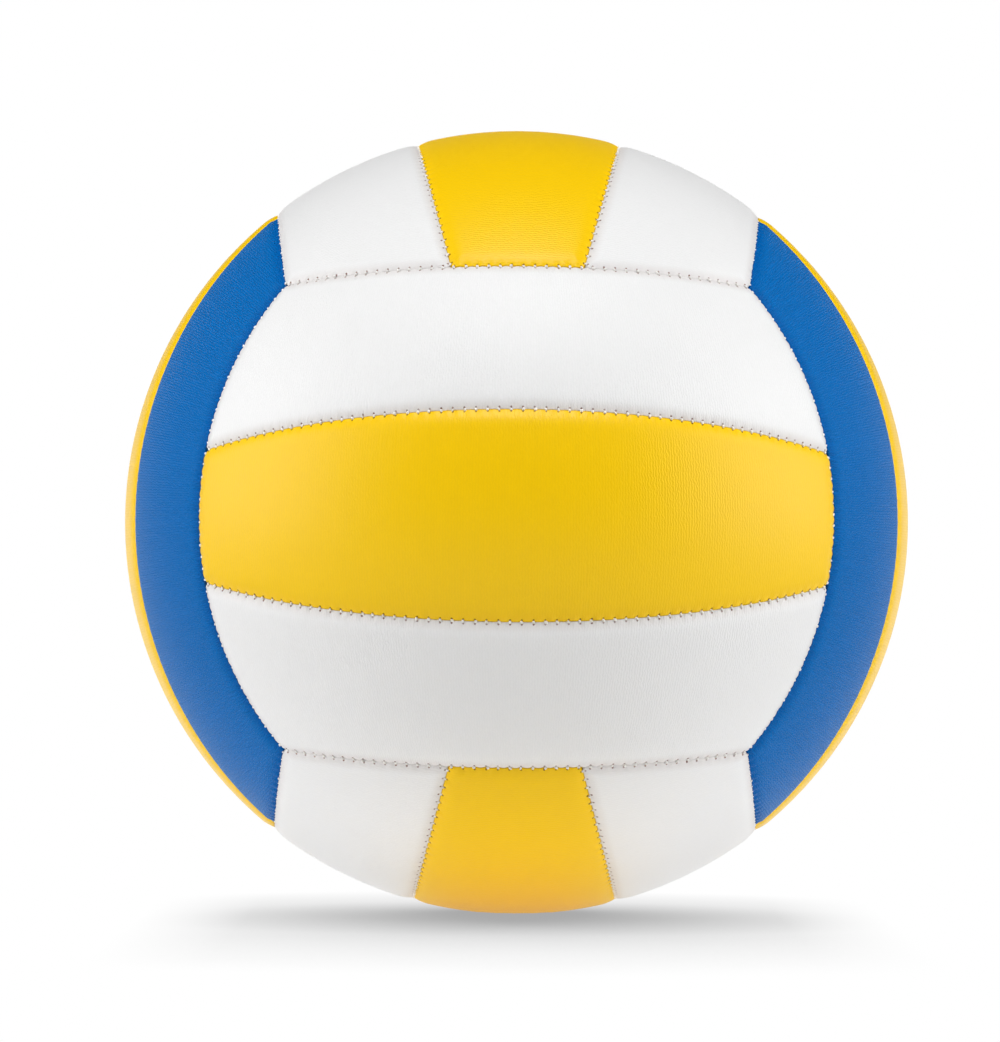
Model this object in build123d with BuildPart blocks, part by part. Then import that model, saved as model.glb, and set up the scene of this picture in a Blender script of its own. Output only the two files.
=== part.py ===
"""A full-size volleyball, sewn from eighteen panels over an inflated bladder. Millimetres, +Z up.

The origin is the ball's centre. Six faces of three strips each cover the ball like the faces of a
cube, and the strips of one face run square to those of its neighbours. Every panel is a skin of
synthetic leather whose edges are turned in at the seams, with a foam pad in the tray that this makes.
Thread lies in the seam valleys. Inside is the bladder, with its valve through the back face.

Each face is drawn lying on top of the ball: X along its strips, Y across them, Z outwards. It is then
set on its side of the ball by its own plane.
"""

import os
from math import acos, asin, atan2, cos, degrees, hypot, radians, sin, sqrt

from build123d import *

# Ball
ball_diameter = 210.0
contact_patch_diameter = 21.0  # flat that the ball's weight presses into the foam where it rests

# Seam layout on the ball, in degrees from the middle of a face
strip_half_angle = 15.0  # half the width of a middle strip
strip_end_angle = 52.0  # half the length of a middle strip

# Panels
skin_thickness = 1.2
foam_thickness = 2.6
turned_edge_radius = 3.0
seam_gap = 0.2
bond_gap = 0.1  # glue line between skin and foam, and between bladder and valve

# Seam thread
thread_diameter = 0.7
thread_clearance = 0.1

# Bladder
bladder_wall = 0.9
bladder_clearance = 0.3

# Valve body
neck_diameter = 9.0
neck_recess = 0.8
neck_clearance = 0.3
mouth_chamfer = 0.5
flange_diameter = 26.0
flange_thickness = 1.2
stem_diameter = 10.0
stem_length = 15.0

# Valve plug
plug_diameter = 5.0
plug_recess = 0.6
plug_clearance = 0.05
collar_diameter = 6.4
collar_height = 2.0
collar_depth = 12.0
inflation_hole_diameter = 2.2
inflation_hole_depth = 7.0
inflation_lead_in = 0.6

# Cutting forms
cut_overrun = 2.0  # how far a cut runs past the face that it opens
rough_cap_share = 0.9  # height of the first rough cut over that of a face's corners
cutter_depth_share = 0.6  # how deep and how wide a seam's cutter is, of the ball's radius
edge_lift_share = 0.04  # how proud of the surface an edge's round would end, so that it crosses it cleanly
undercut_share = 0.1  # how fast an outer strip's long edge falls back below its round

ball_radius = ball_diameter / 2
panel_thickness = skin_thickness + bond_gap + foam_thickness
panel_inner_radius = ball_radius - panel_thickness
bladder_radius = panel_inner_radius - bladder_clearance
bladder_inner_radius = bladder_radius - bladder_wall

# Each face has its plane, and the names of its strips from low to high Y.
FACES = {
    "front": (Plane(origin=(0, 0, 0), x_dir=(1, 0, 0), z_dir=(0, -1, 0)), ("lower", "middle", "upper")),
    "back": (Plane(origin=(0, 0, 0), x_dir=(-1, 0, 0), z_dir=(0, 1, 0)), ("lower", "middle", "upper")),
    "right": (Plane(origin=(0, 0, 0), x_dir=(0, 0, -1), z_dir=(1, 0, 0)), ("front", "middle", "rear")),
    "left": (Plane(origin=(0, 0, 0), x_dir=(0, 0, 1), z_dir=(-1, 0, 0)), ("front", "middle", "rear")),
    "top": (Plane(origin=(0, 0, 0), x_dir=(0, -1, 0), z_dir=(0, 0, 1)), ("left", "middle", "right")),
    "bottom": (Plane(origin=(0, 0, 0), x_dir=(0, 1, 0), z_dir=(0, 0, -1)), ("left", "middle", "right")),
}
ROWS = (-1, 0, 1)
FROM_BASE = (Align.CENTER, Align.CENTER, Align.MIN)
BALL_POLES = Plane(origin=(0, 0, 0), x_dir=(0, 0, -1), z_dir=(0, 1, 0))  # poles to the sides of a face
VALVE_PANEL = ("back", "middle")
RESTING_PANEL = ("bottom", "middle")

# Turned-in edges point at the ball's centre. The seam between two strips of a face is a plane through
# it. The seam across the strips' ends is a cone, whose circle on the ball runs through two corners of the
# face. Corners are where a cube's corners would be.
strip_half = radians(strip_half_angle)
strip_end = radians(strip_end_angle)
corner_share = 1 / sqrt(3)
end_lean = atan2(cos(strip_end) - corner_share, sin(strip_end) - corner_share)
cone_angle = strip_end + end_lean


def strip_seam(way):
    """The seam between the middle strip and an outer one: directions of its axis and its middle."""
    axis = Vector(0, -way * cos(strip_half), sin(strip_half))
    middle = Vector(0, way * sin(strip_half), cos(strip_half))
    return axis, middle


def end_seam(way):
    """The seam across the strips' ends at +X or -X: directions of its axis and its middle."""
    axis = Vector(-way * sin(end_lean), 0, cos(end_lean))
    middle = Vector(way * sin(strip_end), 0, cos(strip_end))
    return axis, middle


def outer_seam(row):
    """The seam along an outer strip, which is an end seam of the neighbouring face."""
    axis = Vector(0, row * cos(end_lean), -sin(end_lean))
    middle = Vector(0, row * cos(strip_end), sin(strip_end))
    return axis, middle


def panel_seams(row):
    """The seams round a panel, each with the panel's side of it (1 towards its axis) and its undercut."""
    if row == 0:
        long_seams = [(strip_seam(way), 1, 0) for way in (-1, 1)]
    else:
        long_seams = [(strip_seam(row), -1, 0), (outer_seam(row), -1, undercut_share)]
    return long_seams + [(end_seam(way), 1, 0) for way in (-1, 1)]


def round_centre(outer_radius, inset, edge_radius):
    """How far out along a seam an edge's round has its centre."""
    from_centre = outer_radius - edge_radius * (1 - edge_lift_share)
    return sqrt(from_centre**2 - (inset + edge_radius) ** 2)


def across(direction, axis):
    """A direction's image on the other side of an axis."""
    return axis * (2 * direction.dot(axis)) - direction


def beyond_seam(seam, side, undercut, outer_radius, inset, edge_radius):
    """All that lies past a panel's edge at one seam: a wall under a round, revolved about the axis.

    In the section, X runs outwards along the seam and Y into the panel. It is drawn across the axis from
    the panel, so that the line where the revolved surfaces close lies far from it.
    """
    axis, middle = seam
    into_panel = (axis - middle * axis.dot(middle)).normalized() * side
    section_x = across(middle, axis)
    section = Plane(origin=(0, 0, 0), x_dir=section_x, z_dir=section_x.cross(across(into_panel, axis)))
    low = outer_radius * cutter_depth_share
    high = outer_radius + cut_overrun
    round_foot = round_centre(outer_radius, inset, edge_radius)
    round_top = round_foot + edge_radius
    wall_foot = inset + undercut * (round_foot - low)
    with BuildPart() as beyond:
        with BuildSketch(section):
            with BuildLine():
                Line((low, wall_foot), (round_foot, inset))
                RadiusArc((round_foot, inset), (round_top, inset + edge_radius), -edge_radius)
                Polyline(
                    (round_top, inset + edge_radius),
                    (high, inset + edge_radius),
                    (high, -low),
                    (low, -low),
                    (low, wall_foot),
                )
            make_face()
        revolve(axis=Axis((0, 0, 0), axis))
    return beyond.part


def panel_block(row, outer_radius, inner_radius, inset, edge_radius):
    """A panel's form between two radii of the ball, inset from its seams, with round outer edges."""
    with BuildPart() as block:
        with Locations(BALL_POLES):
            Sphere(outer_radius)
            Sphere(inner_radius, mode=Mode.SUBTRACT)
        # Rough cuts first: down to a cap just past the corners, then to a band along the strip.
        split(bisect_by=Plane.XY.offset(outer_radius * corner_share * rough_cap_share), keep=Keep.TOP)
        if row == 0:
            for way in (-1, 1):
                band_side = (0, -way * cos(2 * strip_half), sin(2 * strip_half))
                split(bisect_by=Plane(origin=(0, 0, 0), z_dir=band_side), keep=Keep.TOP)
        else:
            split(bisect_by=Plane(origin=(0, 0, 0), z_dir=(0, row, 0)), keep=Keep.TOP)
        for seam, side, undercut in panel_seams(row):
            add(beyond_seam(seam, side, undercut, outer_radius, inset, edge_radius), mode=Mode.SUBTRACT)
    return block.part


def panel_skin(row):
    """A panel's skin: a shell with its edges turned in as deep as the panel is thick."""
    inset = seam_gap / 2
    hollow_radius = ball_radius - skin_thickness
    hollow_floor = panel_inner_radius - cut_overrun
    hollow_inset = inset + skin_thickness
    hollow_edge = turned_edge_radius - skin_thickness
    with BuildPart() as skin:
        add(panel_block(row, ball_radius, panel_inner_radius, inset, turned_edge_radius))
        add(panel_block(row, hollow_radius, hollow_floor, hollow_inset, hollow_edge), mode=Mode.SUBTRACT)
    return skin.part


def panel_pad(row):
    """A panel's foam pad, which fills the skin's tray level with the turned-in edges."""
    depth = skin_thickness + bond_gap
    inset = seam_gap / 2 + depth
    return panel_block(row, ball_radius - depth, panel_inner_radius, inset, turned_edge_radius - depth)


def thread_path_radius():
    """How far out a thread lies when it rests, with its clearance, on the two round edges of a seam."""
    edge_centre_aside = seam_gap / 2 + turned_edge_radius
    to_edge_centre = turned_edge_radius + thread_diameter / 2 + thread_clearance
    edge_centre_out = round_centre(ball_radius, seam_gap / 2, turned_edge_radius)
    return edge_centre_out + sqrt(to_edge_centre**2 - edge_centre_aside**2)


def seam_arcs():
    """One face's threads as arcs: centre, axis, direction of the middle, radius and reach each way."""
    path_radius = thread_path_radius()
    # A strip's thread runs round the ball's centre and stops one thread short of each end seam.
    swing = hypot(sin(end_lean), cos(end_lean) * cos(strip_half))
    phase = atan2(sin(end_lean), cos(end_lean) * cos(strip_half))
    strip_reach = acos(cos(cone_angle) / swing) - phase - thread_diameter / path_radius
    # An end seam's thread runs round its cone's axis and stops one thread short of the corners.
    circle_radius = path_radius * sin(cone_angle)
    end_reach = asin(corner_share / sin(cone_angle)) - thread_diameter / circle_radius
    arcs = []
    for way in (-1, 1):
        strip_axis, strip_middle = strip_seam(way)
        arcs.append((Vector(0, 0, 0), strip_axis, strip_middle, path_radius, strip_reach))
        end_axis, end_middle = end_seam(way)
        circle_centre = end_axis * (path_radius * cos(cone_angle))
        towards_middle = (end_middle - end_axis * cos(cone_angle)).normalized()
        arcs.append((circle_centre, end_axis, towards_middle, circle_radius, end_reach))
    return arcs


def seam_threads():
    """The threads of one face: two along its strip seams and two along its end seams."""
    with BuildPart() as threads:
        for centre, axis, middle, path_radius, reach in seam_arcs():
            start = middle * cos(reach) - axis.cross(middle) * sin(reach)
            section = Plane(origin=centre + start * path_radius, x_dir=start, z_dir=axis.cross(start))
            with BuildSketch(section):
                Circle(thread_diameter / 2)
            revolve(axis=Axis(centre, axis), revolution_arc=degrees(2 * reach))
    return threads.part


def write(shape, name):
    """Labels a finished piece and writes it under its own name."""
    shape.label = name
    export_step(shape, f"parts/{name}.step")


os.makedirs("parts", exist_ok=True)

# Panels and seam threads: each form is drawn once and set on the six faces.
skins = {row: panel_skin(row) for row in ROWS}
pads = {row: panel_pad(row) for row in ROWS}
threads_of_a_face = seam_threads()
contact_patch_radius = contact_patch_diameter / 2
resting_height = sqrt(ball_radius**2 - contact_patch_radius**2)
valve_hole_radius = neck_diameter / 2 + neck_clearance

for face, (plane, strip_names) in FACES.items():
    for row, strip in zip(ROWS, strip_names):
        with BuildPart(plane) as cover:
            add(skins[row])
            if (face, strip) == VALVE_PANEL:
                Cylinder(valve_hole_radius, ball_radius, align=FROM_BASE, mode=Mode.SUBTRACT)
            if (face, strip) == RESTING_PANEL:
                split(bisect_by=plane.offset(resting_height), keep=Keep.BOTTOM)
        write(cover.part, f"{face}_{strip}_cover")

        with BuildPart(plane) as foam:
            add(pads[row])
            if (face, strip) == VALVE_PANEL:
                Cylinder(valve_hole_radius, ball_radius, align=FROM_BASE, mode=Mode.SUBTRACT)
        write(foam.part, f"{face}_{strip}_foam")

    with BuildPart(plane) as threads:
        add(threads_of_a_face)
    write(threads.part, f"{face}_seam_thread")

# Bladder: a thin rubber ball with a hole for the valve's neck.
valve_plane = FACES[VALVE_PANEL[0]][0]
with BuildPart(valve_plane) as bladder:
    Sphere(bladder_radius)
    Sphere(bladder_inner_radius, mode=Mode.SUBTRACT)
    Cylinder(neck_diameter / 2 + bond_gap, ball_radius, align=FROM_BASE, mode=Mode.SUBTRACT)
write(bladder.part, "bladder")

# Valve body: a moulded neck through bladder and panel, a flange against the bladder's inside and a stem.
# Its section is drawn with X as the radius and Y along the valve's axis.
neck_radius = neck_diameter / 2
flange_radius = flange_diameter / 2
stem_radius = stem_diameter / 2
plug_bore_radius = plug_diameter / 2 + plug_clearance
mouth_height = ball_radius - neck_recess
flange_top = bladder_inner_radius - bond_gap
flange_under = flange_top - flange_thickness
stem_foot = flange_under - stem_length


def height_on(sphere_radius, radius):
    """How far along the valve's axis a sphere about the ball's centre stands at a given radius."""
    return sqrt(sphere_radius**2 - radius**2)


with BuildPart() as valve_body:
    with BuildSketch(Plane.XY):
        with BuildLine():
            neck_foot = (neck_radius, height_on(flange_top, neck_radius))
            rim_top = (flange_radius, height_on(flange_top, flange_radius))
            rim_under = (flange_radius, height_on(flange_under, flange_radius))
            stem_head = (stem_radius, height_on(flange_under, stem_radius))
            Polyline((plug_bore_radius, mouth_height), (neck_radius, mouth_height), neck_foot)
            RadiusArc(neck_foot, rim_top, flange_top)
            Line(rim_top, rim_under)
            RadiusArc(rim_under, stem_head, -flange_under)
            Polyline(
                stem_head,
                (stem_radius, stem_foot),
                (plug_bore_radius, stem_foot),
                (plug_bore_radius, mouth_height),
            )
        make_face()
    revolve(axis=Axis.Y)
    mouth_edges = valve_body.edges().group_by(Axis.Y)[-1]
    chamfer(mouth_edges.sort_by(SortBy.RADIUS)[-1], mouth_chamfer)
    # Groove in the bore that holds the plug's collar.
    groove_plane = Plane(origin=(0, mouth_height - collar_depth, 0), x_dir=(1, 0, 0), z_dir=(0, 1, 0))
    with BuildSketch(groove_plane.offset(-plug_clearance)):
        Circle(collar_diameter / 2 + plug_clearance)
    extrude(amount=collar_height + 2 * plug_clearance, mode=Mode.SUBTRACT)
write(valve_body.part, "valve_body")

# Valve plug: a soft core that the valve body grips by its collar, with a blind inflation hole.
plug_top = mouth_height - plug_recess
with BuildPart() as valve_plug:
    with BuildSketch(Plane(origin=(0, stem_foot, 0), x_dir=(1, 0, 0), z_dir=(0, 1, 0))):
        Circle(plug_diameter / 2)
    extrude(amount=plug_top - stem_foot)
    with BuildSketch(groove_plane):
        Circle(collar_diameter / 2)
    extrude(amount=collar_height)
    plug_face = Plane(origin=(0, plug_top, 0), x_dir=(1, 0, 0), z_dir=(0, 1, 0))
    with Locations(plug_face):
        Hole(inflation_hole_diameter / 2, depth=inflation_hole_depth)
    hole_mouth = valve_plug.edges().group_by(Axis.Y)[-1].sort_by(SortBy.RADIUS)[0]
    chamfer(hole_mouth, inflation_lead_in)
write(valve_plug.part, "valve_plug")

thread_depth = ball_radius - thread_path_radius()
print(f"thread centre {thread_depth:.2f} mm deep, resting flat at z {-resting_height:.3f} mm")
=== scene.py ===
# %% [markdown]
# # A sewn volleyball
# Eighteen strips of grained synthetic leather cover this ball: three on each of six faces that lie like
# the faces of a cube. The strips of one face run square to those of its neighbours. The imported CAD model
# already has every piece in place, so it is loaded first as a fixed frame. What the eye sees of leather
# and thread is then drawn over it, and its hidden pieces only get their finishes.

from math import acos, asin, atan2, cos, degrees, pi, radians, sin, sqrt, tan

import bmesh
import bpy
import numpy as np
from mathutils import Matrix, Vector


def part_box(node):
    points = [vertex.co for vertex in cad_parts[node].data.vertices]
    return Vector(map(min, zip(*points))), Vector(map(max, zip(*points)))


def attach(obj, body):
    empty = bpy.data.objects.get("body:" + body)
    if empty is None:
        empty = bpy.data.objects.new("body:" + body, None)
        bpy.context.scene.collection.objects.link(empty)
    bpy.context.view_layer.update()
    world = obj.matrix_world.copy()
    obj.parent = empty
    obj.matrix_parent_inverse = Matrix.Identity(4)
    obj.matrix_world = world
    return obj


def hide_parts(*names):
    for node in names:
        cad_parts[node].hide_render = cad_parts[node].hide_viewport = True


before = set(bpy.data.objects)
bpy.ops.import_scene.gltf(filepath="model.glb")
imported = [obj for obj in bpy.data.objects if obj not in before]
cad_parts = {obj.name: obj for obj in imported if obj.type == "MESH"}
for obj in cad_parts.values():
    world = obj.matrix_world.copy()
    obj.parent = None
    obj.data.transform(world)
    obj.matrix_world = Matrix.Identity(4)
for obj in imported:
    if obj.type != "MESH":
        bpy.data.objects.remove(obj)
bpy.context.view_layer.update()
print("CAD nodes:", len(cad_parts))

# %% [markdown]
# ## Where the seams run
# On the real ball the seams are sewn lines between flat-cut pieces, which the bladder then blows into a
# sphere. They could be traced as splines, but every seam of this ball lies on a circle, so a circle's
# axis and its opening angle give it exactly. Each face is described lying on top of the ball, in three
# directions of its own: along its strips, across them, and outwards.

# %% Driving sizes
MM = 0.001
BALL_RADIUS = 105 * MM
STRIP_HALF = radians(15)
STRIP_END = radians(52)
STITCH_PITCH = 3.0 * MM

# Three faces meet where all three directions are equally far, which is CORNER. A face's end seam runs
# through two such corners, and crosses its middle strip's centre line at STRIP_END from the face's centre.
CORNER = 1 / sqrt(3)
END_LEAN = atan2(cos(STRIP_END) - CORNER, sin(STRIP_END) - CORNER)
END_ANGLE = STRIP_END + END_LEAN
END_OFFSET = cos(END_ANGLE) / cos(END_LEAN)
print("an end seam's circle opens", round(degrees(END_ANGLE), 1), "degrees from its axis")

# %% A seam circle


class Seam:
    """A seam along a circle on the ball.

    The circle has an axis and opens by an angle from it. The seam has its middle in a direction from the
    ball's centre, and turns about the axis by half_turn to either side.
    """

    def __init__(self, axis, angle, middle, half_turn):
        self.axis = np.array(axis)
        self.angle = angle
        self.middle = np.array(middle)
        self.forward = np.cross(self.axis, self.middle)
        self.half_turn = half_turn
        length = 2 * half_turn * BALL_RADIUS * sin(angle)
        self.stitches = round(length / STITCH_PITCH)

    def distance(self, points):
        """Distance over the ball from the seam, positive towards the axis."""
        return BALL_RADIUS * (self.angle - np.arccos(np.clip(points @ self.axis, -1, 1)))

    def stitch_count(self, points):
        """Stitches counted along the seam. Whole numbers lie midway between two stitches."""
        turn = np.arctan2(points @ self.forward, points @ self.middle)
        return (turn / (2 * self.half_turn) + 0.5) * self.stitches


def end_turn(slope, offset):
    """Half the angle that a lengthwise line of a strip turns through from one end seam to the other.

    The line is where the plane across = slope * out + offset cuts the ball. It meets the end seam at the
    turn t for which level * cos(t) - lean * sin(t) = reach.
    """
    lift = np.sqrt(1 + slope**2)
    radius = np.sqrt(1 - (offset / lift) ** 2)
    level = radius / lift
    lean = radius * tan(END_LEAN)
    reach = END_OFFSET + offset * slope / lift**2
    return np.arccos(reach / np.hypot(level, lean)) - np.arctan2(lean, level)


print("a middle strip's centre line turns", round(degrees(2 * end_turn(0, 0))), "degrees")

# %% Seams of a face


def strip_seam(way):
    """The seam between the middle strip and an outer one."""
    axis = (0, -way * cos(STRIP_HALF), sin(STRIP_HALF))
    middle = (0, way * sin(STRIP_HALF), cos(STRIP_HALF))
    return Seam(axis, pi / 2, middle, float(end_turn(tan(STRIP_HALF), 0)))


def end_seam(way):
    """The seam across the three strips' ends."""
    axis = (-way * sin(END_LEAN), 0, cos(END_LEAN))
    middle = (way * cos(END_LEAN), 0, sin(END_LEAN))
    return Seam(axis, END_ANGLE, middle, asin(CORNER / sin(END_ANGLE)))


def outer_seam(row):
    """The seam along an outer strip, which is an end seam of the neighbouring face."""
    axis = (0, row * cos(END_LEAN), -sin(END_LEAN))
    middle = (0, row * sin(END_LEAN), cos(END_LEAN))
    return Seam(axis, END_ANGLE, middle, asin(CORNER / sin(END_ANGLE)))


print("stitches in a strip seam:", strip_seam(1).stitches, "in an end seam:", end_seam(1).stitches)

# %% The six faces
# For each face: which way is out, which way its strips run, their names from low to high, and the
# colour of the two outer strips. Middle strips are all yellow.
FACES = {
    "front": ((0, -1, 0), (1, 0, 0), ("lower", "middle", "upper"), "white"),
    "back": ((0, 1, 0), (-1, 0, 0), ("lower", "middle", "upper"), "white"),
    "right": ((1, 0, 0), (0, 0, -1), ("front", "middle", "rear"), "blue"),
    "left": ((-1, 0, 0), (0, 0, 1), ("front", "middle", "rear"), "blue"),
    "top": ((0, 0, 1), (0, -1, 0), ("left", "middle", "right"), "white"),
    "bottom": ((0, 0, -1), (0, 1, 0), ("left", "middle", "right"), "white"),
}


def face_axes(face):
    """The face's three directions as rows: along, across and out."""
    out, along = np.array(FACES[face][0]), np.array(FACES[face][1])
    return np.array([along, np.cross(out, along), out], dtype=float)


print("faces:", list(FACES))

# %% [markdown]
# ## A panel's place on the ball
# A strip is a curved four-sided patch. It could be cut out of a sphere with booleans, but then its mesh
# would not follow its edges. Here two numbers from -1 to 1 run along and across the strip. Each
# lengthwise line is the cut of a plane through the ball, and the planes swing evenly from one long
# seam to the other, so the mesh lines end exactly on the four seams.

# %% Points of a strip
# For each row of strips: the slope and offset of the plane through its low and its high long seam.
LONG_EDGE_LINES = {
    -1: ((-tan(END_LEAN), -END_OFFSET), (-tan(STRIP_HALF), 0)),
    0: ((-tan(STRIP_HALF), 0), (tan(STRIP_HALF), 0)),
    1: ((tan(STRIP_HALF), 0), (tan(END_LEAN), END_OFFSET)),
}


def strip_points(row, along, across):
    """Directions from the ball's centre to points of a strip, in the face's own axes.

    With k and c swung linearly by across, the plane across = k * out + c cuts a circle, and along
    turns a radius round that circle as far as the end seam.
    """
    (low_k, low_c), (high_k, high_c) = LONG_EDGE_LINES[row]
    share = (across + 1) / 2
    k = low_k + (high_k - low_k) * share
    c = low_c + (high_c - low_c) * share
    lift = np.sqrt(1 + k**2)
    offset = c / lift
    radius = np.sqrt(1 - offset**2)
    turn = along * end_turn(k, c)
    level = radius * np.cos(turn)
    point_across = (offset + level * k) / lift
    point_out = (level - offset * k) / lift
    return np.stack([radius * np.sin(turn), point_across, point_out], axis=-1)


strip_middle, strip_tip = strip_points(0, np.array([0.0, 1.0]), np.array([0.0, 0.0]))
print("a middle strip is", round(2 * BALL_RADIUS / MM * acos(strip_middle @ strip_tip)), "mm long")

# %% Seams round a strip


def panel_seams(row):
    """The seams on a strip's low, far, high and near sides, each with its side (1 towards its axis)."""
    if row == 0:
        low, high, side = strip_seam(-1), strip_seam(1), 1
    elif row == 1:
        low, high, side = strip_seam(1), outer_seam(1), -1
    else:
        low, high, side = outer_seam(-1), strip_seam(-1), -1
    return [(low, side), (end_seam(1), 1), (high, side), (end_seam(-1), 1)]


def tight_seams(face, row):
    """Whether the stitches on each of those four sides are pulled tight, so that no holes show."""
    ends = face in ("front", "back", "left", "right")
    outer = face in ("left", "right", "top", "bottom")
    inner = face in ("left", "right")
    low = outer if row == -1 else inner
    high = outer if row == 1 else inner
    return np.array([low, ends, high, ends])


print("stitches round a middle strip:", sum(seam.stitches for seam, side in panel_seams(0)))

# %% [markdown]
# ## The turned and stitched edge
# A real panel's edge is folded in over its foam and sewn, so it rolls over within a few millimetres, and
# each stitch pulls a small dent into it. Subdivision with creases could round the edge, but the dents
# have to keep step with the stitches on both sides of a seam. So the depth of the surface is a formula of
# the distance to each seam and of the stitch count along it.

# %% Depth of the leather under the ball's sphere
ROLL_WIDTH = 4.5 * MM
ROLL_DEPTH = 0.85 * MM
ROLL_POWER = 2.2
FOLD_WIDTH = 1.0 * MM
FOLD_DEPTH = 0.05 * MM
CORNER_RADIUS = 1.8 * MM
# Outside its rounded corner the leather rolls on, to this share of the roll's width, and also falls this
# steeply, down to this much.
ROLL_LIMIT = 1.2
CORNER_SLOPE = 2
CORNER_DROP = 1.0 * MM
DENT_DEPTH = 0.28 * MM
DENT_REACH = 1.4 * MM
# The share of a dent's depth by which the leather stands up between two stitches.
DENT_RISE = 0.35


def quarter_round(distance, width):
    """1 at the edge with an upright tangent, falling along a quarter circle to 0 at the width."""
    share = np.clip(1 - distance / width, 0, 1)
    return 1 - np.sqrt(1 - share**2)


def edge_distance(distances):
    """Distance to the nearest of four seams, less near a corner, which is rounded."""
    to_long = np.minimum(distances[0], distances[2])
    to_end = np.minimum(distances[1], distances[3])
    nearest = np.minimum(to_long, to_end)
    in_corner = np.hypot(np.maximum(CORNER_RADIUS - to_long, 0), np.maximum(CORNER_RADIUS - to_end, 0))
    return np.minimum(nearest, np.where(in_corner > 0, CORNER_RADIUS - in_corner, nearest))


def leather_depth(points, seams):
    """Depth of a panel's face: a slow roll, a tight fold at the edge, and a dent at each stitch.

    With d the distance to the edge, the roll is (1 - d / width)^2.2 and the fold a quarter circle. A dent
    is half a cosine along the seam, times exp(-(d / reach)^2).
    """
    distances = [side * seam.distance(points) for seam, side in seams]
    nearest = edge_distance(distances)
    depth = ROLL_DEPTH * np.clip(1 - nearest / ROLL_WIDTH, 0, ROLL_LIMIT) ** ROLL_POWER
    depth = depth + FOLD_DEPTH * quarter_round(nearest, FOLD_WIDTH)
    depth = depth + np.clip(-CORNER_SLOPE * nearest, 0, CORNER_DROP)
    for (seam, side), distance in zip(seams, distances):
        pull = 0.5 - 0.5 * np.cos(2 * pi * seam.stitch_count(points))
        depth = depth + DENT_DEPTH * (pull - DENT_RISE) * np.exp(-((distance / DENT_REACH) ** 2))
    return depth


print("the edge lies", round((ROLL_DEPTH + FOLD_DEPTH) / MM, 2), "mm under the sphere")

# %% [markdown]
# ## A panel as one closed skin
# A panel is a skin with its edges turned in like a shallow tray, and its foam lies in the tray. A plain
# grid with a thickness would spend most of its points in the middle, where nothing happens. Here the
# profile of the skin, from its crown over the edge, down the wall and back under, is carried round the
# panel's outline, so points crowd where the edge rolls and the stitches pull.

# %% Profile of the skin
# Thicknesses of the skin and of a whole panel with its foam, in mm.
SKIN = 1.2
PANEL = 3.8
# Distances from the edge, in mm, of the rings on the outside, crown first.
CROWN_RINGS = np.array(
    [27, 22, 17.5, 13, 9.5, 7, 5.2, 4, 3.1, 2.5, 2, 1.6, 1.25, 0.95, 0.7, 0.5, 0.33, 0.19, 0.08, 0]
)
# The turned-in part: distances from the edge and depths in mm, from the wall to the skin's underside.
UNDER_RINGS = np.array(
    [(0, 2.4), (0, PANEL), (1.2, PANEL), (1.25, 1.9), (2.4, SKIN), (8, SKIN), (17, SKIN), (27, SKIN)]
)
# The edge of the leather stands this far above the start of the wall, at the least.
WALL_START = 0.1 * MM
ring_count = len(CROWN_RINGS) + len(UNDER_RINGS)
print("rings of a panel:", ring_count)

# %% Outline and core
# How many points lie along a long side and along an end.
OUTLINE_LONG = 372
OUTLINE_END = 96
# About half a strip's width and length. They turn distances over the leather into shares of the square.
HALF_WIDTH = 27.0 * MM
HALF_LENGTH = 94.0 * MM
# How far the leather's outline stays inside its seams.
SEAM_CLEARANCE = 0.012 * MM


def outline(long_count, end_count):
    """Points round the square from -1 to 1, anticlockwise from its low side, and each one's side."""
    rise = np.linspace(-1, 1, long_count + 1)[:-1]
    climb = np.linspace(-1, 1, end_count + 1)[:-1]
    along = np.concatenate([rise, np.ones(end_count), -rise, -np.ones(end_count)])
    across = np.concatenate([-np.ones(long_count), climb, np.ones(long_count), -climb])
    sides = np.repeat(np.arange(4), [long_count, end_count, long_count, end_count])
    return along, across, sides


def core_of(along, across, hole_radius):
    """Where the rings shrink to: the strip's middle line, or a round hole in its centre."""
    if hole_radius:
        bearing = np.arctan2(across * HALF_WIDTH, along * HALF_LENGTH)
        return hole_radius / HALF_LENGTH * np.cos(bearing), hole_radius / HALF_WIDTH * np.sin(bearing)
    ridge_end = 1 - HALF_WIDTH / HALF_LENGTH
    return np.clip(along, -ridge_end, ridge_end), np.zeros_like(across)


def ring_points(row, hole_radius):
    """Directions to all points of a panel, ring by ring, and the side that each column belongs to.

    A ring is the outline drawn a share s of the way in to the core: edge * (1 - s) + core * s.
    """
    edge_along, edge_across, sides = outline(OUTLINE_LONG, OUTLINE_END)
    edge_along = edge_along * (1 - SEAM_CLEARANCE / HALF_LENGTH)
    edge_across = edge_across * (1 - SEAM_CLEARANCE / HALF_WIDTH)
    core_along, core_across = core_of(edge_along, edge_across, hole_radius)
    shares = np.concatenate([CROWN_RINGS, UNDER_RINGS[:, 0]])[:, None] * MM / HALF_WIDTH
    along = edge_along * (1 - shares) + core_along * shares
    across = edge_across * (1 - shares) + core_across * shares
    return strip_points(row, along, across), sides


ring_size = len(outline(OUTLINE_LONG, OUTLINE_END)[0])
print("points in a ring:", ring_size)

# %% Depths and faces of the rings
HOLE_ROLL_WIDTH = 0.9 * MM
HOLE_ROLL_DEPTH = 0.5 * MM


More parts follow.
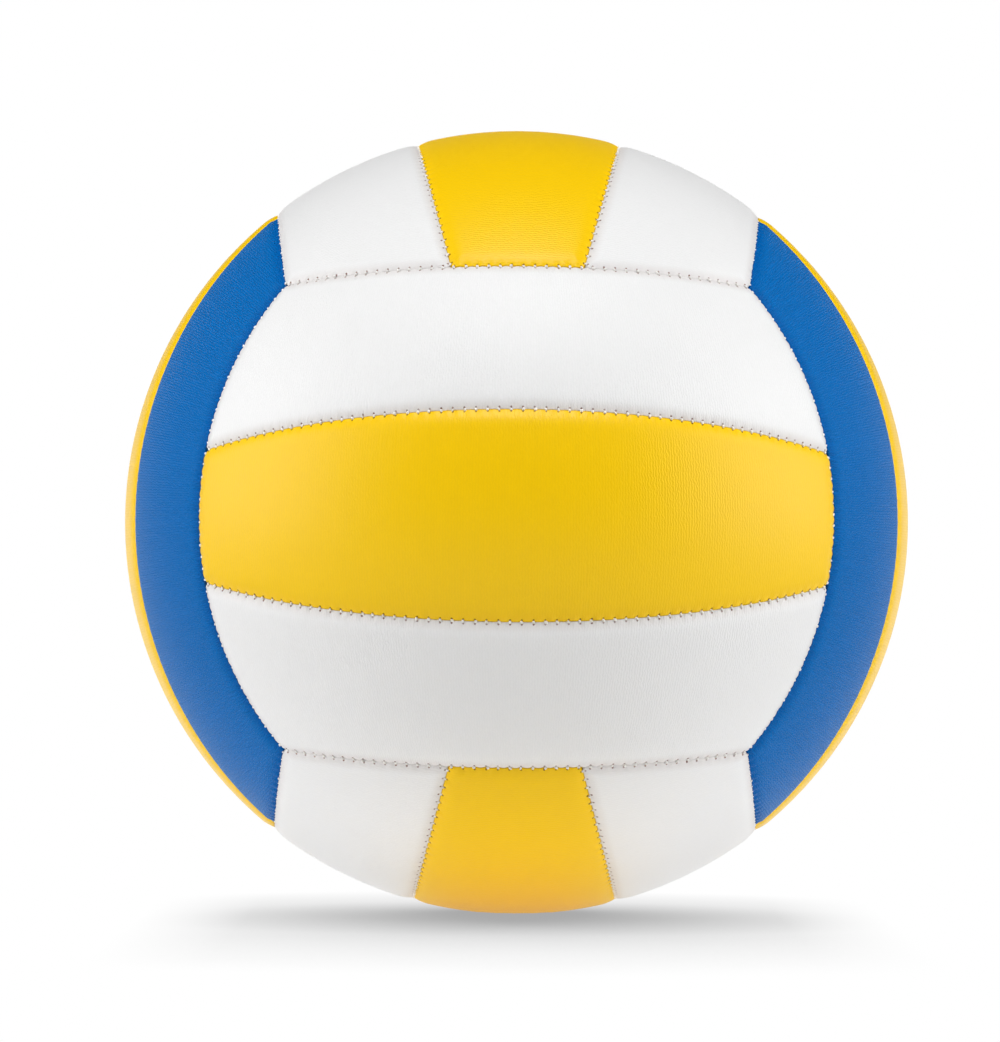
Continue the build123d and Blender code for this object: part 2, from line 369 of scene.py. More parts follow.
def ring_depths(points, seams, hole_radius):
    """Depth of each point: the leather's on the outside, the tray's profile underneath.

    The edge of a hole is rounded by a quarter circle of its own.
    """
    depth = leather_depth(points, seams)
    if hole_radius:
        from_hole = BALL_RADIUS * np.arccos(np.clip(points[..., 2], -1, 1)) - hole_radius
        depth = depth + HOLE_ROLL_DEPTH * quarter_round(from_hole, HOLE_ROLL_WIDTH)
    crown = len(CROWN_RINGS)
    tray = np.broadcast_to(UNDER_RINGS[:, 1:] * MM, depth[crown:].shape)
    wall = UNDER_RINGS[:, 1:] > SKIN
    depth[crown:] = np.maximum(tray, np.where(wall, depth[crown - 1] + WALL_START, 0))
    return depth


def ring_faces(rings, columns, has_hole):
    """Four-cornered faces between neighbouring rings, as each corner's ring and column.

    Every ring closes on itself. Round a hole the last ring also joins the first.
    """
    ring, column = np.meshgrid(np.arange(rings if has_hole else rings - 1), np.arange(columns), indexing="ij")
    next_ring = (ring + 1) % rings
    next_column = (column + 1) % columns
    corner_rings = np.stack([ring, next_ring, next_ring, ring], axis=-1)
    corner_columns = np.stack([column, column, next_column, next_column], axis=-1)
    return corner_rings.reshape(-1, 4), corner_columns.reshape(-1, 4)


print("faces of a panel:", len(ring_faces(ring_count, ring_size, False)[0]))

# %% A panel's surface


def panel_surface(row, tight, hole_radius=0):
    """Points, faces and two UV sets of a closed panel, in the face's own axes and in metres.

    A point lies at its direction times the ball's radius less its depth. The grain UV is millimetres along
    and across the strip. The stitch UV is the stitch count along a side's seam and the distance to it in
    millimetres. On a tight seam the count stays 0, which is midway between two stitches.
    """
    points, sides = ring_points(row, hole_radius)
    seams = panel_seams(row)
    depth = ring_depths(points, seams, hole_radius)
    surface = points * (BALL_RADIUS - depth)[..., None]
    rings, columns = depth.shape
    corner_rings, corner_columns = ring_faces(rings, columns, bool(hole_radius))
    faces = corner_rings * columns + corner_columns

    angles = np.stack([np.arctan2(points[..., 0], points[..., 2]), np.arcsin(points[..., 1])], axis=-1)
    grain_uv = (angles * BALL_RADIUS / MM)[corner_rings, corner_columns]
    counts = np.stack([seam.stitch_count(points) for seam, side in seams])
    counts = np.where(tight[:, None, None], 0, counts)
    distances = np.stack([side * seam.distance(points) / MM for seam, side in seams])
    corners = (sides[corner_columns[:, :1]], corner_rings, corner_columns)
    stitch_uv = np.stack([counts[corners], distances[corners]], axis=-1)
    return surface.reshape(-1, 3), faces, grain_uv, stitch_uv


WELD_DISTANCE = 0.001 * MM


def make_mesh(name, points, faces, uv_sets):
    """A smooth mesh from whole arrays. Points that fall together, as at a pole, are welded."""
    mesh = bpy.data.meshes.new(name)
    mesh.from_pydata(points.tolist(), [], faces.tolist())
    for uv_name, coordinates in uv_sets.items():
        layer = mesh.uv_layers.new(name=uv_name)
        layer.data.foreach_set("uv", coordinates.astype(np.float32).ravel())
    welded = bmesh.new()
    welded.from_mesh(mesh)
    bmesh.ops.remove_doubles(welded, verts=welded.verts, dist=WELD_DISTANCE)
    welded.to_mesh(mesh)
    welded.free()
    mesh.polygons.foreach_set("use_smooth", np.ones(len(mesh.polygons), dtype=bool))
    piece = bpy.data.objects.new(name, mesh)
    bpy.context.scene.collection.objects.link(piece)
    return piece


thickest = BALL_RADIUS - np.linalg.norm(panel_surface(0, tight_seams("front", 0))[0], axis=-1).min()
print("a panel reaches", round(thickest / MM, 2), "mm under the sphere")

# %% [markdown]
# ## Eighteen panels on the ball
# All panels come from three shapes: a middle strip and two outer ones. Each is turned onto its face by
# the face's three directions. Two panels differ: the one that the ball rests on is pressed flat at the
# floor, and the one at the back has the round hole for the valve. The panels could be blown up by a cloth
# simulation, but leather stretched tight over a full bladder ends up on the sphere in any case.

# %% Build the panels
VALVE_PANEL = ("back", "middle")
VALVE_HOLE_RADIUS = 4.8 * MM
RESTING_PANEL = ("bottom", "middle")
resting_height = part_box("bottom_middle_cover")[0][2]

panels = {}
for face, (out, along, strip_names, side_colour) in FACES.items():
    for row, strip in zip((-1, 0, 1), strip_names):
        hole = VALVE_HOLE_RADIUS if (face, strip) == VALVE_PANEL else 0
        points, faces, grain_uv, stitch_uv = panel_surface(row, tight_seams(face, row), hole)
        points = points @ face_axes(face)
        if (face, strip) == RESTING_PANEL:
            points[:, 2] = np.maximum(points[:, 2], resting_height)
        node = f"{face}_{strip}_cover"
        panel = make_mesh(f"{face}_{strip}_panel", points, faces, {"grain": grain_uv, "stitch": stitch_uv})
        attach(panel, "root")
        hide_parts(node)
        panels[face, strip] = panel
print("panels:", len(panels), "faces in one:", len(panels["front", "middle"].data.polygons))

# %% [markdown]
# ## Stitches
# The panels are sewn with a stout pale thread, and on the finished ball it shows as short bars that cross
# the seam every three millimetres and dive into the leather on both sides. They could be scattered with
# instances, but each has to follow its seam's circle. So one bar is a small round tube, and its
# points are worked out for all stitches of a seam at once.

# %% Bars of a seam
# How many points lie along a bar and round it, half its size each way, and how far its ends dive.
BAR_STEPS = 7
BAR_SIDES = 8
BAR_HALF_SPAN = 0.5 * MM
BAR_HALF_WIDTH = 0.34 * MM
BAR_HALF_HEIGHT = 0.3 * MM
BAR_DIVE = 0.65 * MM
# Hand-guided sewing is uneven: how much the bars slant on the whole, and the spread of their slant, of
# their place along the seam, of their depth and of their thickness.
BAR_SLANT = 0.096 * MM
SLANT_SPREAD = 0.12 * MM
PLACE_SPREAD = 0.14 * MM
DEPTH_SPREAD = 0.08 * MM
THICKNESS_SPREAD = 0.12


def bar_points(seam, depth, pull, wobble):
    """Points of all bars of one seam, in the face's own axes.

    Along a bar, x runs from -1 to 1 across the seam. Its middle line lies at depth + dive * x^4, and its
    round section shrinks by sqrt(1 - x^4) to nothing at both ends, under the leather.
    """
    count = (np.arange(seam.stitches) + 0.5)[:, None, None]
    x = np.linspace(-1, 1, BAR_STEPS)[None, :, None]
    around = np.linspace(0, 2 * pi, BAR_SIDES, endpoint=False)[None, None, :]
    lean, stray, sink, swell = wobble.normal(0, 1, (4, seam.stitches, 1, 1))
    section = (1 + THICKNESS_SPREAD * swell) * np.sqrt(1 - x**4)
    slant = BAR_SLANT + SLANT_SPREAD * lean
    aside = BAR_HALF_WIDTH * section * np.cos(around) + slant * x + PLACE_SPREAD * stray
    middle_depth = depth + DEPTH_SPREAD * sink + BAR_DIVE * x**4
    height = BAR_HALF_HEIGHT * section * np.sin(around) - middle_depth
    turn = (count / seam.stitches - 0.5) * 2 * seam.half_turn + aside / (BALL_RADIUS * sin(seam.angle))
    angle = seam.angle + (BAR_HALF_SPAN * x - pull) / BALL_RADIUS
    turn, angle, height = np.broadcast_arrays(turn, angle, height)
    spoke = np.cos(turn)[..., None] * seam.middle + np.sin(turn)[..., None] * seam.forward
    direction = np.cos(angle)[..., None] * seam.axis + np.sin(angle)[..., None] * spoke
    return (direction * (BALL_RADIUS + height)[..., None]).reshape(-1, 3)


def bar_faces(bars):
    """Four-cornered faces round every bar, outwards, as numbers of the points above."""
    counts = (np.arange(bars), np.arange(BAR_STEPS - 1), np.arange(BAR_SIDES))
    bar, step, spot = np.meshgrid(*counts, indexing="ij")
    beside = (spot + 1) % BAR_SIDES
    first = (bar * BAR_STEPS + step) * BAR_SIDES
    second = first + BAR_SIDES
    return np.stack([first + spot, first + beside, second + beside, second + spot], axis=-1).reshape(-1, 4)


print("faces of one bar:", len(bar_faces(1)))

# %% Build the stitches
# How deep the middle of a loose bar lies under the ball's sphere.
BAR_TOP = 0.72 * MM
# How much deeper a face's bars lie between its strips and across their ends, and how far the latter are
# pulled into the strips.
TIGHT_BARS = {
    "front": (0, 0.2 * MM, 0.3 * MM),
    "back": (0, 0.2 * MM, 0.3 * MM),
    "left": (0.4 * MM, 0.4 * MM, 0),
    "right": (0.4 * MM, 0.4 * MM, 0),
    "top": (0.15 * MM, 0, 0),
    "bottom": (0.15 * MM, 0, 0),
}


def face_stitches(face, wobble):
    """Points and faces of all bars on one face: two seams between strips, then two across their ends."""
    between, across, pull = TIGHT_BARS[face]
    rows = [(strip_seam(way), between, 0) for way in (-1, 1)]
    rows += [(end_seam(way), across, pull) for way in (-1, 1)]
    points = [bar_points(seam, BAR_TOP + deeper, inwards, wobble) for seam, deeper, inwards in rows]
    bars = sum(seam.stitches for seam, deeper, inwards in rows)
    return np.concatenate(points) @ face_axes(face), bar_faces(bars)


stitches = {}
for order, face in enumerate(FACES):
    points, faces = face_stitches(face, np.random.default_rng(order))
    piece = make_mesh(f"{face}_stitches", points, faces, {})
    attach(piece, "root")
    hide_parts(f"{face}_seam_thread")
    stitches[face] = piece
print("stitch pieces:", len(stitches), "faces in one:", len(stitches["front"].data.polygons))

# %% [markdown]
# ## Synthetic leather
# The skin is polyurethane leather: a cloth backing under a cast, embossed and slightly rubbery coat. To
# the eye that gives an even colour, a broad soft gloss and fine wrinkles that lie across each strip. An
# image could hold the grain, but wavy bands drawn over the strip's own millimetres give it at any
# zoom. The colour also carries painted shade, a little in the wrinkles' valleys and along the seams. The
# stitch count and the distance to the seam, kept as a second UV set, place that painted shade, a painted
# dark line in the seam's crevice and painted shadow in the needle holes beside each stitch.

# %% Material helpers


def linear(code):
    """An sRGB hex colour as linear red, green, blue and alpha."""
    channels = np.array([int(code[place : place + 2], 16) for place in (1, 3, 5)]) / 255
    low = channels / 12.92
    high = ((channels + 0.055) / 1.055) ** 2.4
    return (*np.where(channels <= 0.04045, low, high).tolist(), 1.0)


def add(tree, kind, inputs=None, out=0, **settings):
    """Adds a node with its settings, and gives each named input a value or a link to a socket.

    It returns one output, by name or number, or the node itself where out is None.
    """
    node = tree.nodes.new(kind)
    for name, value in settings.items():
        setattr(node, name, value)
    for name, source in (inputs or {}).items():
        if isinstance(source, bpy.types.NodeSocket):
            tree.links.new(source, node.inputs[name])
        else:
            node.inputs[name].default_value = source
    return node if out is None else node.outputs[out]


def new_material(name):
    """An empty node material and its node tree."""
    material = bpy.data.materials.new(name)
    material.use_nodes = True
    material.node_tree.nodes.clear()
    return material, material.node_tree


# Where a colour mix node keeps its share, its two colours and its result.
MIX_SHARE, MIX_FIRST, MIX_SECOND, MIX_RESULT = 0, 6, 7, 2
# The coat of the leather, thread, foam and rubber are all polymers, which bend light about this much.
POLYMER_IOR = 1.5
print("white is", linear("#FFFFFF"))

# %% Embossed grain
# Sizes in mm. Real pores are about 0.1 mm across, too fine to show, so these are drawn coarser.
WRINKLE_PITCH = 0.75
WRINKLE_LENGTH = 0.95
WRINKLE_BEND = 6
WRINKLE_BEND_SCALE = 2.4
PORE_SIZE = 0.28
PORE_SHARE = 0.35
# A wave node's bands repeat every pi / 10 at a scale of 1.
WAVE_REPEAT = pi / 10


def wrinkle_pattern(tree, grain):
    """Short crooked ridges across the strip, from 0 to 1: sine bands bent by noise."""
    stretch = (1, WRINKLE_PITCH / WRINKLE_LENGTH, 1)
    place = add(tree, "ShaderNodeMapping", {"Vector": grain, "Scale": stretch})
    bands = {"Vector": place, "Scale": WAVE_REPEAT / WRINKLE_PITCH}
    bends = {"Distortion": WRINKLE_BEND, "Detail": 2, "Detail Scale": WRINKLE_BEND_SCALE}
    return add(tree, "ShaderNodeTexWave", {**bands, **bends}, "Fac", wave_profile="SIN")


def grain_relief(tree, grain, wrinkles, depth):
    """The normal of leather with these wrinkles, to a depth in mm, and finer pores between them."""
    pores = add(tree, "ShaderNodeTexNoise", {"Vector": grain, "Scale": 1 / PORE_SIZE, "Detail": 2}, "Fac")
    relief = add(tree, "ShaderNodeMath", {0: pores, 1: PORE_SHARE, 2: wrinkles}, operation="MULTIPLY_ADD")
    return add(tree, "ShaderNodeBump", {"Height": relief, "Strength": 1.0, "Distance": depth * MM})


print("wrinkles every", WRINKLE_PITCH, "mm along a strip")

# %% Needle holes and crevice: painted shadow
# Sizes in mm: how far from the seam a hole lies, how much longer than wide it is, and where the dark
# middle and the rim of its painted shadow end. Then the width of the painted shade line in the seam's
# crevice.
HOLE_PLACE = 0.52
HOLE_STRETCH = 1.2
HOLE_DARK, HOLE_RIM = 0.14, 0.38
HOLE_WEAKEST, HOLE_STRONGEST = 0.6, 1.0
CREVICE_SHADE_DARK, CREVICE_SHADE_RIM = 0.05, 0.35


def painted_seam_shade(tree, stitch, crevice_shade_strength):
    """How dark the leather is painted by the seam, from 0 to 1: shadow in a hole at each bar's end, and shade
    in the crevice.

    A hole is a round spot in the length sqrt(a^2 + (b / stretch)^2), with a along the seam and b across it.
    """
    parts = add(tree, "ShaderNodeSeparateXYZ", {"Vector": stitch}, None)
    count, distance = parts.outputs["X"], parts.outputs["Y"]
    phase = add(tree, "ShaderNodeMath", {0: count}, operation="FRACT")
    off_centre = add(tree, "ShaderNodeMath", {0: phase, 1: 0.5}, operation="SUBTRACT")
    along_seam = add(tree, "ShaderNodeMath", {0: off_centre, 1: STITCH_PITCH / MM}, operation="MULTIPLY")
    past_hole = add(tree, "ShaderNodeMath", {0: distance, 1: HOLE_PLACE}, operation="SUBTRACT")
    shortened = add(tree, "ShaderNodeMath", {0: past_hole, 1: HOLE_STRETCH}, operation="DIVIDE")
    spot = add(tree, "ShaderNodeCombineXYZ", {"X": along_seam, "Y": shortened})
    radius = add(tree, "ShaderNodeVectorMath", {0: spot}, "Value", operation="LENGTH")

    # Each stitch's hole has its own strength of painted shadow.
    number = add(tree, "ShaderNodeMath", {0: count}, operation="FLOOR")
    chance = add(tree, "ShaderNodeTexWhiteNoise", {"W": number}, noise_dimensions="1D")
    strengths = {"To Min": HOLE_WEAKEST, "To Max": HOLE_STRONGEST}
    strength = add(tree, "ShaderNodeMapRange", {"Value": chance, **strengths})
    fade = {"From Min": HOLE_RIM, "From Max": HOLE_DARK, "To Max": strength}
    hole = add(tree, "ShaderNodeMapRange", {"Value": radius, **fade}, interpolation_type="SMOOTHSTEP")
    # Painted shade: a dark line in the seam's crevice, where shade falls.
    fade = {"From Min": CREVICE_SHADE_RIM, "From Max": CREVICE_SHADE_DARK, "To Max": crevice_shade_strength}
    crevice_shade = add(tree, "ShaderNodeMapRange", {"Value": distance, **fade}, interpolation_type="SMOOTHSTEP")
    return add(tree, "ShaderNodeMath", {0: hole, 1: crevice_shade}, operation="MAXIMUM")


print("a needle hole lies", HOLE_PLACE, "mm from its seam")

# %% Leather
# The painted shade along a seam fades between these distances from it, in mm.
SEAM_SHADE_NEAR, SEAM_SHADE_FAR = 0.3, 3.2
# Painted shade in the grain: the coat's colour is this much darker in the wrinkles' valleys than on their
# ridges.
VALLEY_SHADE, RIDGE_TONE = 0.97, 1.0
VALLEY_ROUGHNESS, RIDGE_ROUGHNESS = 0.38, 0.32


def leather_colour(tree, wrinkles, stitch, colour, seam_shade_colour):
    """The dyed coat with painted shade: a little darker in its valleys, and shaded along the seams."""
    tones = {"To Min": VALLEY_SHADE, "To Max": RIDGE_TONE}
    tone = add(tree, "ShaderNodeMapRange", {"Value": wrinkles, **tones})
    dye_and_valley_shade = {MIX_SHARE: 1.0, MIX_FIRST: linear(colour), MIX_SECOND: tone}
    coat = add(tree, "ShaderNodeMix", dye_and_valley_shade, MIX_RESULT, data_type="RGBA", blend_type="MULTIPLY")
    distance = add(tree, "ShaderNodeSeparateXYZ", {"Vector": stitch}, "Y")
    fade = {"From Min": SEAM_SHADE_FAR, "From Max": SEAM_SHADE_NEAR}
    near = add(tree, "ShaderNodeMapRange", {"Value": distance, **fade}, interpolation_type="SMOOTHSTEP")
    # Painted shade along the seam: the coat fades to the seam's shade colour.
    seam_shaded = {MIX_SHARE: near, MIX_FIRST: coat, MIX_SECOND: linear(seam_shade_colour)}
    return add(tree, "ShaderNodeMix", seam_shaded, MIX_RESULT, data_type="RGBA")


def leather(name, colour, seam_shade_colour, seam_shadow_colour, crevice_shade_strength, wrinkle_depth, shine):
    """Embossed polyurethane leather in one colour, with painted shade along its seams and painted shadow in
    its needle holes.
    """
    material, tree = new_material(name)
    grain = add(tree, "ShaderNodeUVMap", uv_map="grain")
    stitch = add(tree, "ShaderNodeUVMap", uv_map="stitch")
    wrinkles = wrinkle_pattern(tree, grain)
    coat = leather_colour(tree, wrinkles, stitch, colour, seam_shade_colour)
    seam_shadow_mask = painted_seam_shade(tree, stitch, crevice_shade_strength)
    shadowed = {MIX_SHARE: seam_shadow_mask, MIX_FIRST: coat, MIX_SECOND: linear(seam_shadow_colour)}
    finish = {
        "Base Color": add(tree, "ShaderNodeMix", shadowed, MIX_RESULT, data_type="RGBA"),
        "Normal": grain_relief(tree, grain, wrinkles, wrinkle_depth),
        "IOR": POLYMER_IOR,
        "Specular IOR Level": shine,
    }
    glosses = {"To Min": VALLEY_ROUGHNESS, "To Max": RIDGE_ROUGHNESS}
    finish["Roughness"] = add(tree, "ShaderNodeMapRange", {"Value": wrinkles, **glosses})
    surface = add(tree, "ShaderNodeBsdfPrincipled", finish)
    add(tree, "ShaderNodeOutputMaterial", {"Surface": surface}, None)
    return material


# Each has a colour, a painted shade colour along its seams and a painted shadow colour for its needle
# holes and crevice line, the strength of that painted crevice line, the depth of its wrinkles in mm, and its
# shine. White is clean and satin, with painted brown shadows where the thread goes in. Yellow is warm and
# satin too, with a painted brown shade line along its edges. Blue is the most matt, and the most strongly
# grained.
LEATHERS = {
    "white": leather("white_polyurethane_leather", "#F4F4F4", "#E9E6E5", "#6E2E08", 0.03, 0.04, 0.3),
    "yellow": leather("yellow_polyurethane_leather", "#FFCF00", "#FFCF04", "#6E3200", 0.4, 0.026, 0.28),
    "blue": leather("blue_polyurethane_leather", "#066DBC", "#0062B2", "#0A1A30", 0.4, 0.14, 0.06),
}
for (face, strip), panel in panels.items():
    colour = "yellow" if strip == "middle" else FACES[face][3]
    panel.data.materials.append(LEATHERS[colour])
print("leathers:", [material.name for material in LEATHERS.values()])

# %% [markdown]
# ## Thread, rubber and foam
# The thread is waxed polyester: pale, with a dull, slightly uneven surface. The valve and the bladder are
# moulded rubber with a soft gloss. The foam is closed-cell and only shows when a panel is taken off. These
# could be flat colours, but a little relief at their real scale keeps them from looking like paint.

# %% Other finishes
RELIEF_STRENGTH = 0.6


def plain_finish(name, colour, shadow_colour, grit, relief_depth, roughness):
    """A finish with one noise for its tone and its relief. Grit and relief are in mm."""
    material, tree = new_material(name)
    place = add(tree, "ShaderNodeTexCoord", out="Object")
    noise = add(tree, "ShaderNodeTexNoise", {"Vector": place, "Scale": 1 / (grit * MM), "Detail": 3}, "Fac")
    tones = {MIX_SHARE: noise, MIX_FIRST: linear(shadow_colour), MIX_SECOND: linear(colour)}
    tone = add(tree, "ShaderNodeMix", tones, MIX_RESULT, data_type="RGBA")
    relief = {"Height": noise, "Strength": RELIEF_STRENGTH, "Distance": relief_depth * MM}
    bump = add(tree, "ShaderNodeBump", relief)
    finish = {"Base Color": tone, "Roughness": roughness, "Normal": bump, "IOR": POLYMER_IOR}
    add(tree, "ShaderNodeOutputMaterial", {"Surface": add(tree, "ShaderNodeBsdfPrincipled", finish)}, None)
    return material


# Thread: near white and quite matt. Rubbers: dark greys, softer ones paler and glossier. Foam: a cream
# that is darker in its cells.
thread = plain_finish("waxed_polyester_thread", "#FFFFFF", "#EFEAE2", 0.2, 0.05, 0.8)
foam = plain_finish("closed_cell_foam", "#E9E2CF", "#BDB294", 0.5, 0.1, 0.9)
rubbers = {
    "bladder": plain_finish("butyl_rubber", "#2A2A2C", "#1C1C1E", 1.5, 0.02, 0.55),
    "valve_body": plain_finish("moulded_valve_rubber", "#33322F", "#262522", 0.8, 0.02, 0.5),
    "valve_plug": plain_finish("soft_plug_rubber", "#4A4844", "#3A3834", 0.6, 0.02, 0.45),
}

for piece in stitches.values():
    piece.data.materials.append(thread)
carried = {node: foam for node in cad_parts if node.endswith("_foam")} | rubbers
for node, finish in carried.items():
    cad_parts[node].data.materials.clear()
    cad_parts[node].data.materials.append(finish)
print("carried pieces with a finish:", len(carried))

# %% [markdown]
# ## The floor
# The ball lies on a white table that is bright all round it, lights it a little from below with a glow of
# its own under the ball, and ends a pace away, where the room is dark. The table could be burnt out with
# strong lamps, but that would bleach the ball. So to the camera and in reflections it is white of itself,
# with a painted shadow: darker where the ball screens it from the open light, broadly from two sides at the
# back and closely from straight above, and faded out sideways beside the ball. What lights the ball itself
# is plain paper, which returns the lamps' light.

# %% Rays that see a white surround


def seen_directly(tree, reflected=1):
    """1 for rays from the camera, a share for reflected or refracted ones, 0 for light on matt surfaces."""
    ray = add(tree, "ShaderNodeLightPath", out=None).outputs
    bounces = {0: ray["Is Glossy Ray"], 1: ray["Is Transmission Ray"]}
    shiny = add(tree, "ShaderNodeMath", bounces, operation="MAXIMUM")
    shown = add(tree, "ShaderNodeMath", {0: shiny, 1: reflected}, operation="MULTIPLY")
    return add(tree, "ShaderNodeMath", {0: ray["Is Camera Ray"], 1: shown}, operation="MAXIMUM")


WHITE = linear("#FFFFFF")
print("the surround is", WHITE[:3])

# %% Paper that lights the ball
TABLE_BRIGHT, TABLE_END = 0.65, 0.95
PAPER_COLOUR, ROOM_COLOUR = "#E8E8E8", "#303030"
BELOW_BRIGHT, BELOW_END = 0.04, 0.14
BELOW_STRENGTH = 0.38


def lighting_paper(tree):
    """White paper that darkens with its distance from the ball, and glows of itself under the ball."""
    place = add(tree, "ShaderNodeTexCoord", out="Object")
    from_ball = add(tree, "ShaderNodeVectorMath", {0: place}, "Value", operation="LENGTH")
    fade = {"From Min": TABLE_END, "From Max": TABLE_BRIGHT}
    on_table = add(tree, "ShaderNodeMapRange", {"Value": from_ball, **fade})
    colours = {MIX_SHARE: on_table, MIX_FIRST: linear(ROOM_COLOUR), MIX_SECOND: linear(PAPER_COLOUR)}
    colour = add(tree, "ShaderNodeMix", colours, MIX_RESULT, data_type="RGBA")
    fade = {"From Min": BELOW_END, "From Max": BELOW_BRIGHT, "To Max": BELOW_STRENGTH}
    from_below = add(tree, "ShaderNodeMapRange", {"Value": from_ball, **fade})
    paper = add(tree, "ShaderNodeBsdfDiffuse", {"Color": colour})
    glow = add(tree, "ShaderNodeEmission", {"Color": WHITE, "Strength": from_below})
    return add(tree, "ShaderNodeAddShader", {0: paper, 1: glow})


print("the paper is bright to", TABLE_BRIGHT, "m from the ball")

# %% Paper that the camera sees
BROAD_REACH, CLOSE_REACH = 0.25, 0.07
BROAD_WAYS = ((-0.45, 0.88, 0.15), (0.45, 0.88, 0.15))
# From how much open light to how much, and the white at either end.
BROAD_SHADE = {"From Min": 0.52, "From Max": 0.94, "To Min": 0.5, "To Max": 1.0}
CLOSE_SHADE = {"From Min": 0.3, "From Max": 0.95, "To Min": 0.8, "To Max": 1.0}
# Beside the ball the painted shadow fades out sideways between these distances.
SHADE_KEPT, SHADE_GONE = 0.07, 0.098
SHADE_SAMPLES = 32


def seen_paper(tree):
    """White paper with the ball's soft painted shadow: the lighter of two broad shades, times a close one."""
    broad = []
    for way in BROAD_WAYS:
        skyward = add(tree, "ShaderNodeCombineXYZ", dict(zip("XYZ", way)))
        shade = {"Distance": BROAD_REACH, "Normal": skyward}
        broad.append(add(tree, "ShaderNodeAmbientOcclusion", shade, "AO", samples=SHADE_SAMPLES))
    lighter = add(tree, "ShaderNodeMath", {0: broad[0], 1: broad[1]}, operation="MAXIMUM")
    broad_white = add(tree, "ShaderNodeMapRange", {"Value": lighter, **BROAD_SHADE})
    close = add(tree, "ShaderNodeAmbientOcclusion", {"Distance": CLOSE_REACH}, "AO", samples=SHADE_SAMPLES)
    close_white = add(tree, "ShaderNodeMapRange", {"Value": close, **CLOSE_SHADE})
    shaded = add(tree, "ShaderNodeMath", {0: broad_white, 1: close_white}, operation="MULTIPLY")
    place = add(tree, "ShaderNodeTexCoord", out="Object")
    sideways = add(tree, "ShaderNodeSeparateXYZ", {"Vector": place}, "X")
    beside = add(tree, "ShaderNodeMath", {0: sideways}, operation="ABSOLUTE")
    kept = add(tree, "ShaderNodeMapRange", {"Value": beside, "From Min": SHADE_GONE, "From Max": SHADE_KEPT})
    darkness = add(tree, "ShaderNodeMath", {0: shaded, 1: 1}, operation="SUBTRACT")
    white = add(tree, "ShaderNodeMath", {0: darkness, 1: kept, 2: 1}, operation="MULTIPLY_ADD")
    return add(tree, "ShaderNodeEmission", {"Color": WHITE, "Strength": white})


print("the shadow reaches", BROAD_REACH, "m")

# %% Lay the floor
FLOOR_SIZE = 60.0
bpy.ops.mesh.primitive_plane_add(size=FLOOR_SIZE, location=(0, 0, resting_height))
floor = bpy.context.object
floor.name = "floor"
sweep, tree = new_material("white_paper_sweep")
papers = {0: seen_directly(tree), 1: lighting_paper(tree), 2: seen_paper(tree)}
add(tree, "ShaderNodeOutputMaterial", {"Surface": add(tree, "ShaderNodeMixShader", papers)}, None)
floor.data.materials.append(sweep)
print("floor at", round(resting_height / MM, 2), "mm")

# %% [markdown]
# ## The room
# Behind the ball and low at its sides everything is white. In front and above the room is dark, which
# keeps the middle of the yellow strips deep in colour. A lit room could be modelled, but only its
# reflections and the white behind the ball show. So the camera sees white everywhere, reflections see it
# only low and behind, and what lights matt surfaces is nearly nothing.

# %% World
ROOM_STRENGTH = 0.03
WHITE_BELOW, DARK_ABOVE = 0.05, 0.3
WHITE_BEHIND, DARK_BEFORE = -0.1, -0.6

world = bpy.data.worlds.new("studio")
bpy.context.scene.world = world
world.use_nodes = True
tree = world.node_tree
tree.nodes.clear()
room = add(tree, "ShaderNodeBackground", {"Color": WHITE, "Strength": ROOM_STRENGTH})
backdrop = add(tree, "ShaderNodeBackground", {"Color": WHITE, "Strength": 1.0})
# In a world, Generated is the direction of the ray.
way = add(tree, "ShaderNodeTexCoord", out="Generated")
parts = add(tree, "ShaderNodeSeparateXYZ", {"Vector": way}, None).outputs
fade = {"From Min": DARK_ABOVE, "From Max": WHITE_BELOW}
low = add(tree, "ShaderNodeMapRange", {"Value": parts["Z"], **fade})
fade = {"From Min": DARK_BEFORE, "From Max": WHITE_BEHIND}
behind = add(tree, "ShaderNodeMapRange", {"Value": parts["Y"], **fade})
reflected = add(tree, "ShaderNodeMath", {0: low, 1: behind}, operation="MULTIPLY")
surrounds = {0: seen_directly(tree, reflected), 1: room, 2: backdrop}
add(tree, "ShaderNodeOutputWorld", {"Surface": add(tree, "ShaderNodeMixShader", surrounds)}, None)
print("room light", ROOM_STRENGTH, "and a white backdrop")

# %% [markdown]
# ## Lamps
# Two broad soft lamps stand low at the sides, and give the yellow strip its bright ends. One hangs above
# the front, and one behind lights the back, which is otherwise dark. They could be one sky texture, but
# single lamps can each be set to their share of the picture's light.

# %% Softboxes


def softbox(name, place, size, power, reflected):
    """A square area lamp at a place, aimed at the ball's centre, which shows in reflections or not."""
    lamp = bpy.data.lights.new(name, "AREA")
    lamp.shape = "SQUARE"
    lamp.size = size
    lamp.energy = power
    holder = bpy.data.objects.new(name, lamp)
    holder.location = place
    holder.rotation_euler = (-Vector(place)).to_track_quat("-Z", "Y").to_euler()
    holder.visible_camera = False
    holder.visible_glossy = reflected
    bpy.context.scene.collection.objects.link(holder)


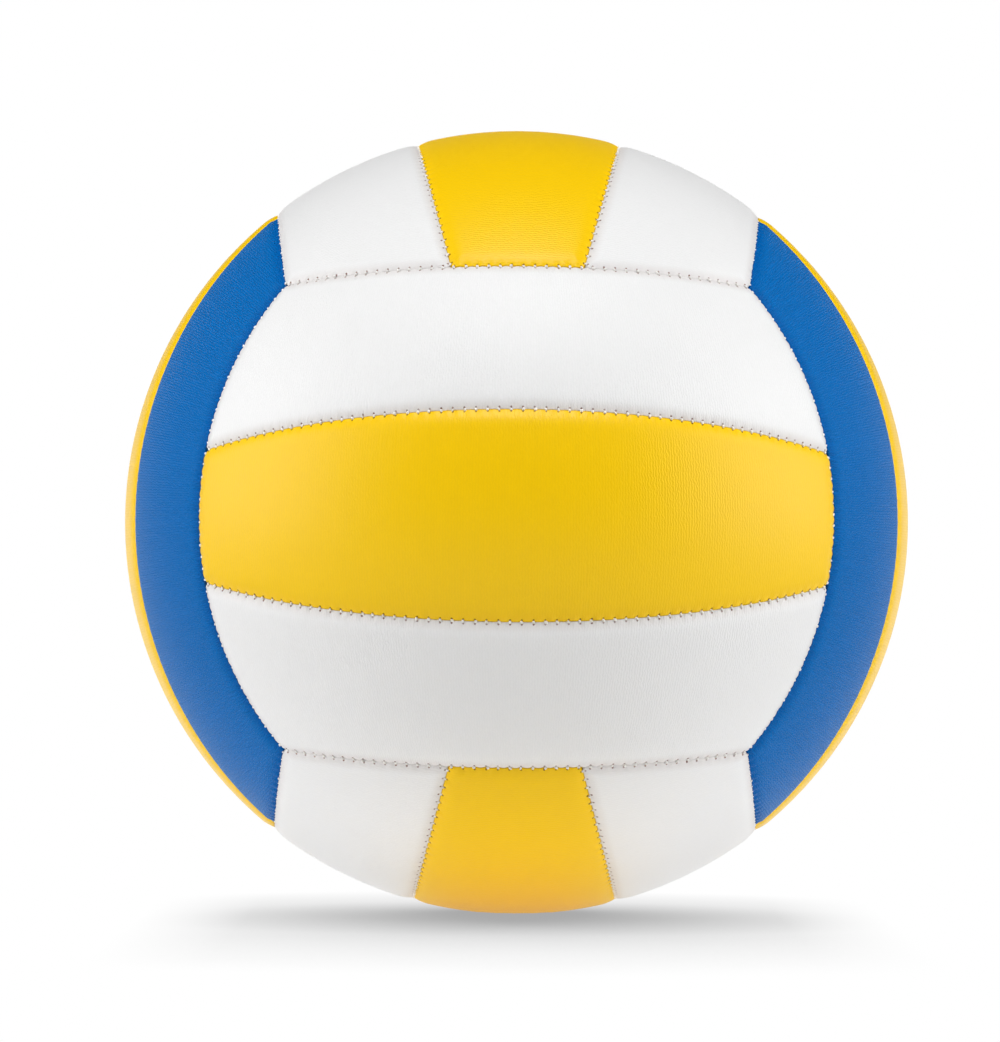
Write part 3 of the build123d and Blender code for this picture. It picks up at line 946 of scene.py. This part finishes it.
# Each lamp's place and side in metres, its power in watts, and whether it shows in reflections. The one
# behind would put a glare on the ball's upper rim.
LAMPS = {
    "left_softbox": ((-1.45, -0.31, 0.3), 1.4, 19, True),
    "right_softbox": ((1.45, -0.31, 0.3), 1.4, 19, True),
    "front_softbox": ((0, -0.7, 1.35), 0.9, 15, True),
    "rear_softbox": ((0, 1.5, 0.5), 1.0, 12, False),
}
for name, (place, size, power, reflected) in LAMPS.items():
    softbox(name, place, size, power, reflected)
print("lamps:", list(LAMPS))

# %% [markdown]
# ## Camera
# The frame is 1000 by 1042 pixels. The ball's outline is 391.5 pixels in radius round the point
# (516.5, 522.5). The lens could be matched by eye, but the outline's size gives it by a formula: a ball
# seen from n radii away fills tan(asin(1 / n)) of the focal length. Sixteen radii away, one degree under
# the ball's middle, the seams fall where the picture has them.

# %% Camera
FRAME_WIDTH, FRAME_HEIGHT = 1000, 1042
OUTLINE_PIXELS = 391.5
OUTLINE_CENTRE = (516.5, 522.5)
DISTANCE_IN_RADII = 16
CAMERA_ELEVATION = radians(-1.0)
CAMERA_ROLL = radians(0.3)
SENSOR = 36.0

focal_pixels = OUTLINE_PIXELS * sqrt(DISTANCE_IN_RADII**2 - 1)
camera_data = bpy.data.cameras.new("camera")
camera_data.sensor_width = SENSOR
camera_data.lens = focal_pixels * SENSOR / FRAME_HEIGHT
camera_data.shift_x = (FRAME_WIDTH / 2 - OUTLINE_CENTRE[0]) / FRAME_HEIGHT
camera_data.shift_y = (OUTLINE_CENTRE[1] - FRAME_HEIGHT / 2) / FRAME_HEIGHT
camera = bpy.data.objects.new("camera", camera_data)
back = Vector((0, -cos(CAMERA_ELEVATION), sin(CAMERA_ELEVATION)))
camera.location = back * DISTANCE_IN_RADII * BALL_RADIUS
level_view = (-back).to_track_quat("-Z", "Y").to_matrix()
camera.rotation_euler = (level_view @ Matrix.Rotation(CAMERA_ROLL, 3, "Z")).to_euler()
bpy.context.scene.collection.objects.link(camera)
bpy.context.scene.camera = camera
bpy.context.scene.view_settings.view_transform = "Standard"
print("lens", round(camera_data.lens, 1), "mm at", round(camera.location.length, 3), "m")
